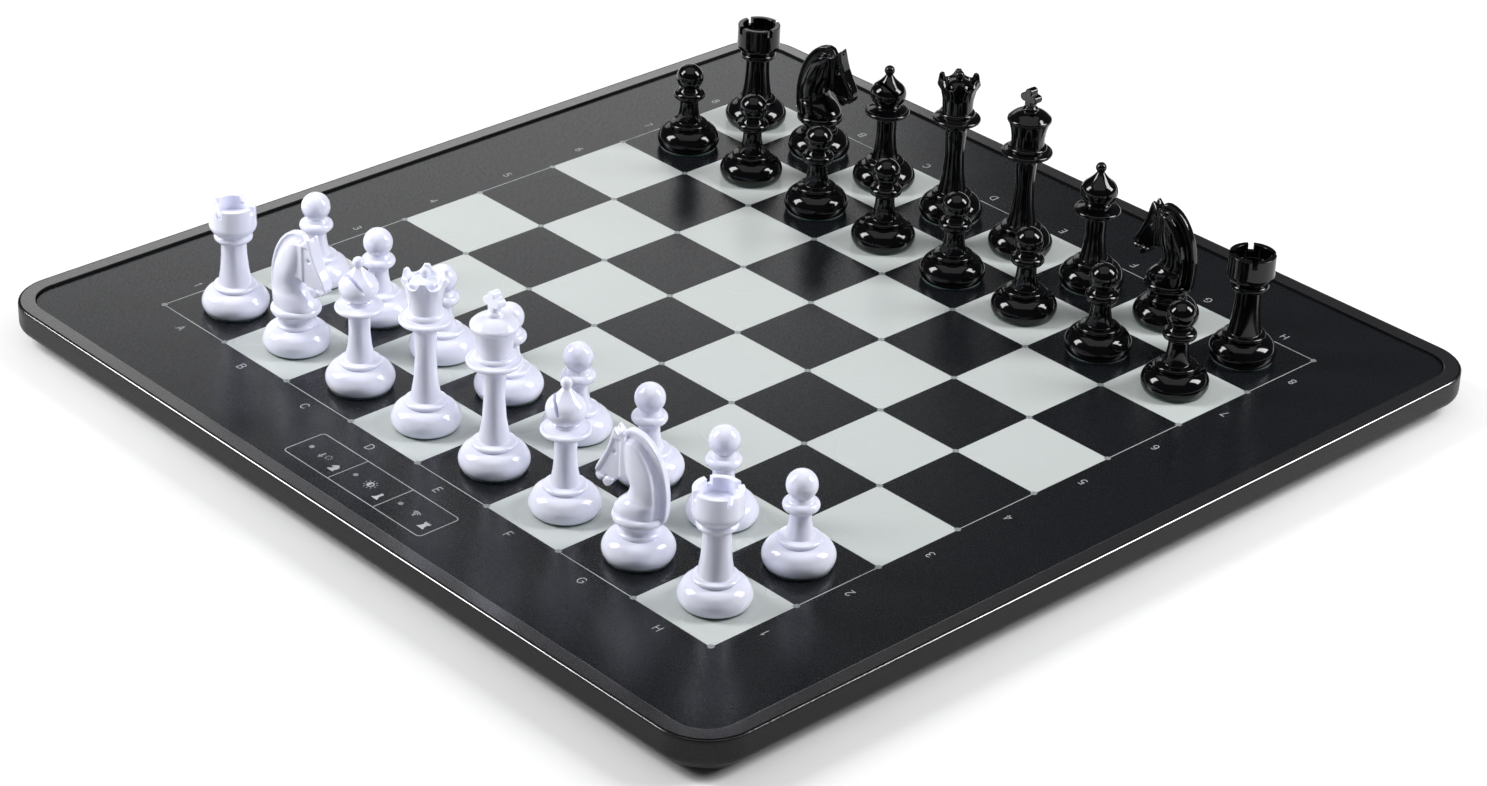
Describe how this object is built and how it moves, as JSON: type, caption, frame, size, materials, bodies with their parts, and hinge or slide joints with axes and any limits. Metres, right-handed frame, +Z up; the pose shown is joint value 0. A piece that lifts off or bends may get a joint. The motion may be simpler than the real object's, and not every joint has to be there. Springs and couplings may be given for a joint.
{
  "type": "electronic chess computer",
  "caption": "Flat square chess computer with a sensing field, light dots at the grid corners, a touch strip and a set of weighted pieces on their starting squares.",
  "frame": {"origin": "centre of the board, on the surface that its feet stand on", "axes": "+Z up; +X from the A file to the H file; +Y from the first rank to the eighth"},
  "size_m": [0.414, 0.414, 0.089],
  "materials": {
    "frame_grey": "satin, fine grain",
    "housing_black": "fine texture",
    "foot_rubber": "matt",
    "plate_pale": "translucent, satin",
    "overlay_charcoal": "fine grain, satin",
    "guide_clear": "translucent",
    "grid_white": "plain",
    "circuit_board": "solder mask",
    "copper": "bare",
    "led_body": "clear",
    "chip_black": "moulded",
    "module_can": "tinned",
    "sounder_black": "plain",
    "battery_sleeve": "shrink film",
    "clamp_steel": "zinc",
    "lead_insulation": "plain",
    "cable_film": "polyimide",
    "connector_cream": "moulded",
    "socket_steel": "drawn",
    "button_grey": "satin",
    "switch_black": "moulded",
    "screw_steel": "zinc",
    "piece_white": "polished",
    "piece_black": "polished"
  },
  "bodies": {
    "board": {"battery_clamp": "clamp_steel", "battery_leads": "lead_insulation", "battery_pack": "battery_sleeve", "bezel_frame": "frame_grey", "board_screws": "screw_steel", "cable_connectors": "connector_cream", "charging_socket": "socket_steel", "control_board": "circuit_board", "control_light_guides": "guide_clear", "dark_squares": "overlay_charcoal", "field_light_guides": "guide_clear", "field_plate": "plate_pale", "flat_cables": "cable_film", "housing_screws": "screw_steel", "led_chips": "led_body", "light_guide_grid": "grid_white", "lower_housing": "housing_black", "main_board": "circuit_board", "main_board_chips": "chip_black", "panel_overlay": "overlay_charcoal", "power_switch": "switch_black", "rubber_feet": "foot_rubber", "sensing_loops": "copper", "sensor_board": "circuit_board", "sounder": "sounder_black", "touch_electrodes": "copper", "wireless_module": "module_can"},
    "power_button": {"power_button": "button_grey"},
    "black_bishop_c8": {"black_bishop_c8": "piece_black"},
    "black_bishop_f8": {"black_bishop_f8": "piece_black"},
    "black_king_e8": {"black_king_e8": "piece_black"},
    "black_knight_b8": {"black_knight_b8": "piece_black"},
    "black_knight_g8": {"black_knight_g8": "piece_black"},
    "black_pawn_a7": {"black_pawn_a7": "piece_black"},
    "black_pawn_b7": {"black_pawn_b7": "piece_black"},
    "black_pawn_c7": {"black_pawn_c7": "piece_black"},
    "black_pawn_d7": {"black_pawn_d7": "piece_black"},
    "black_pawn_e7": {"black_pawn_e7": "piece_black"},
    "black_pawn_f7": {"black_pawn_f7": "piece_black"},
    "black_pawn_g7": {"black_pawn_g7": "piece_black"},
    "black_pawn_h7": {"black_pawn_h7": "piece_black"},
    "black_queen_d8": {"black_queen_d8": "piece_black"},
    "black_rook_a8": {"black_rook_a8": "piece_black"},
    "black_rook_h8": {"black_rook_h8": "piece_black"},
    "white_bishop_c1": {"white_bishop_c1": "piece_white"},
    "white_bishop_f1": {"white_bishop_f1": "piece_white"},
    "white_king_e1": {"white_king_e1": "piece_white"},
    "white_knight_b1": {"white_knight_b1": "piece_white"},
    "white_knight_g1": {"white_knight_g1": "piece_white"},
    "white_pawn_a2": {"white_pawn_a2": "piece_white"},
    "white_pawn_b2": {"white_pawn_b2": "piece_white"},
    "white_pawn_c2": {"white_pawn_c2": "piece_white"},
    "white_pawn_d2": {"white_pawn_d2": "piece_white"},
    "white_pawn_e2": {"white_pawn_e2": "piece_white"},
    "white_pawn_f2": {"white_pawn_f2": "piece_white"},
    "white_pawn_g2": {"white_pawn_g2": "piece_white"},
    "white_pawn_h2": {"white_pawn_h2": "piece_white"},
    "white_queen_d1": {"white_queen_d1": "piece_white"},
    "white_rook_a1": {"white_rook_a1": "piece_white"},
    "white_rook_h1": {"white_rook_h1": "piece_white"}
  },
  "joints": [
    {"name": "power_button_press", "type": "slide", "parent": "board", "child": "power_button", "axis": [1, 0, 0], "range_m": [0, 0.0008], "stiffness_N_per_m": 600},
    {"name": "lift_black_bishop_c8", "type": "slide", "parent": "board", "child": "black_bishop_c8", "axis": [0, 0, 1], "range_m": [0, 0.1]},
    {"name": "lift_black_bishop_f8", "type": "slide", "parent": "board", "child": "black_bishop_f8", "axis": [0, 0, 1], "range_m": [0, 0.1]},
    {"name": "lift_black_king_e8", "type": "slide", "parent": "board", "child": "black_king_e8", "axis": [0, 0, 1], "range_m": [0, 0.1]},
    {"name": "lift_black_knight_b8", "type": "slide", "parent": "board", "child": "black_knight_b8", "axis": [0, 0, 1], "range_m": [0, 0.1]},
    {"name": "lift_black_knight_g8", "type": "slide", "parent": "board", "child": "black_knight_g8", "axis": [0, 0, 1], "range_m": [0, 0.1]},
    {"name": "lift_black_pawn_a7", "type": "slide", "parent": "board", "child": "black_pawn_a7", "axis": [0, 0, 1], "range_m": [0, 0.1]},
    {"name": "lift_black_pawn_b7", "type": "slide", "parent": "board", "child": "black_pawn_b7", "axis": [0, 0, 1], "range_m": [0, 0.1]},
    {"name": "lift_black_pawn_c7", "type": "slide", "parent": "board", "child": "black_pawn_c7", "axis": [0, 0, 1], "range_m": [0, 0.1]},
    {"name": "lift_black_pawn_d7", "type": "slide", "parent": "board", "child": "black_pawn_d7", "axis": [0, 0, 1], "range_m": [0, 0.1]},
    {"name": "lift_black_pawn_e7", "type": "slide", "parent": "board", "child": "black_pawn_e7", "axis": [0, 0, 1], "range_m": [0, 0.1]},
    {"name": "lift_black_pawn_f7", "type": "slide", "parent": "board", "child": "black_pawn_f7", "axis": [0, 0, 1], "range_m": [0, 0.1]},
    {"name": "lift_black_pawn_g7", "type": "slide", "parent": "board", "child": "black_pawn_g7", "axis": [0, 0, 1], "range_m": [0, 0.1]},
    {"name": "lift_black_pawn_h7", "type": "slide", "parent": "board", "child": "black_pawn_h7", "axis": [0, 0, 1], "range_m": [0, 0.1]},
    {"name": "lift_black_queen_d8", "type": "slide", "parent": "board", "child": "black_queen_d8", "axis": [0, 0, 1], "range_m": [0, 0.1]},
    {"name": "lift_black_rook_a8", "type": "slide", "parent": "board", "child": "black_rook_a8", "axis": [0, 0, 1], "range_m": [0, 0.1]},
    {"name": "lift_black_rook_h8", "type": "slide", "parent": "board", "child": "black_rook_h8", "axis": [0, 0, 1], "range_m": [0, 0.1]},
    {"name": "lift_white_bishop_c1", "type": "slide", "parent": "board", "child": "white_bishop_c1", "axis": [0, 0, 1], "range_m": [0, 0.1]},
    {"name": "lift_white_bishop_f1", "type": "slide", "parent": "board", "child": "white_bishop_f1", "axis": [0, 0, 1], "range_m": [0, 0.1]},
    {"name": "lift_white_king_e1", "type": "slide", "parent": "board", "child": "white_king_e1", "axis": [0, 0, 1], "range_m": [0, 0.1]},
    {"name": "lift_white_knight_b1", "type": "slide", "parent": "board", "child": "white_knight_b1", "axis": [0, 0, 1], "range_m": [0, 0.1]},
    {"name": "lift_white_knight_g1", "type": "slide", "parent": "board", "child": "white_knight_g1", "axis": [0, 0, 1], "range_m": [0, 0.1]},
    {"name": "lift_white_pawn_a2", "type": "slide", "parent": "board", "child": "white_pawn_a2", "axis": [0, 0, 1], "range_m": [0, 0.1]},
    {"name": "lift_white_pawn_b2", "type": "slide", "parent": "board", "child": "white_pawn_b2", "axis": [0, 0, 1], "range_m": [0, 0.1]},
    {"name": "lift_white_pawn_c2", "type": "slide", "parent": "board", "child": "white_pawn_c2", "axis": [0, 0, 1], "range_m": [0, 0.1]},
    {"name": "lift_white_pawn_d2", "type": "slide", "parent": "board", "child": "white_pawn_d2", "axis": [0, 0, 1], "range_m": [0, 0.1]},
    {"name": "lift_white_pawn_e2", "type": "slide", "parent": "board", "child": "white_pawn_e2", "axis": [0, 0, 1], "range_m": [0, 0.1]},
    {"name": "lift_white_pawn_f2", "type": "slide", "parent": "board", "child": "white_pawn_f2", "axis": [0, 0, 1], "range_m": [0, 0.1]},
    {"name": "lift_white_pawn_g2", "type": "slide", "parent": "board", "child": "white_pawn_g2", "axis": [0, 0, 1], "range_m": [0, 0.1]},
    {"name": "lift_white_pawn_h2", "type": "slide", "parent": "board", "child": "white_pawn_h2", "axis": [0, 0, 1], "range_m": [0, 0.1]},
    {"name": "lift_white_queen_d1", "type": "slide", "parent": "board", "child": "white_queen_d1", "axis": [0, 0, 1], "range_m": [0, 0.1]},
    {"name": "lift_white_rook_a1", "type": "slide", "parent": "board", "child": "white_rook_a1", "axis": [0, 0, 1], "range_m": [0, 0.1]},
    {"name": "lift_white_rook_h1", "type": "slide", "parent": "board", "child": "white_rook_h1", "axis": [0, 0, 1], "range_m": [0, 0.1]}
  ]
}
